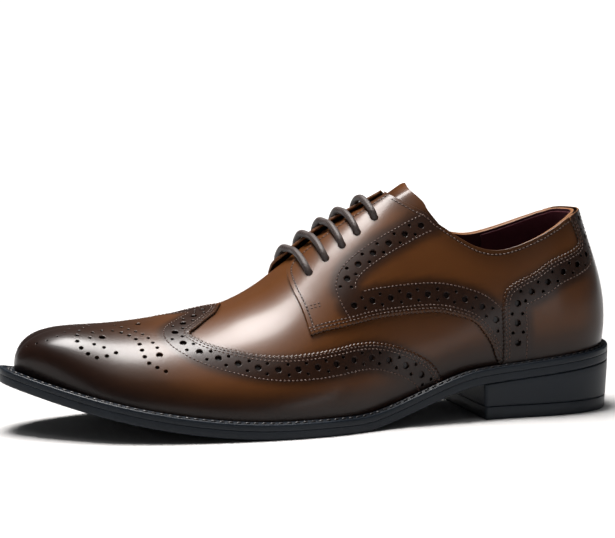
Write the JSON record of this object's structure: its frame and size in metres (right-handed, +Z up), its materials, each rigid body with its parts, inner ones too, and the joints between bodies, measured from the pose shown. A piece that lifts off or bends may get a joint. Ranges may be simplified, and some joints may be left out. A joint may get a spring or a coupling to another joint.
{
  "type": "derby dress shoe",
  "caption": "Low leather derby dress shoe for the left foot, with wing-tip overlays, open collar, laced facings, welt, thin outsole and low block heel.",
  "frame": {"origin": "middle of the heel's flat face on the floor", "axes": "+X to the toe, +Y to the outer side of the foot, +Z up"},
  "size_m": [0.303, 0.1001, 0.109],
  "materials": {
    "sole_rubber": "satin black",
    "welt": "satin black, stitched",
    "heel_rubber": "satin black",
    "heel_stack": "satin black",
    "sock_lining": "matte burgundy",
    "vamp_leather": "burnished and polished",
    "overlay_leather": "burnished and polished, punched",
    "tongue_leather": "smooth",
    "lace": "waxed round cord"
  },
  "bodies": {
    "root": {"outsole": "sole_rubber", "welt": "welt", "top_lift": "heel_rubber", "heel_block": "heel_stack", "insole": "sock_lining", "upper": "vamp_leather", "wing_cap": "overlay_leather", "quarter_lateral": "overlay_leather", "quarter_medial": "overlay_leather", "counter": "overlay_leather", "tongue": "tongue_leather", "lace_bar_1": "lace", "lace_bar_2": "lace", "lace_bar_3": "lace", "lace_bar_4": "lace", "lace_bar_5": "lace"}
  },
  "joints": []
}
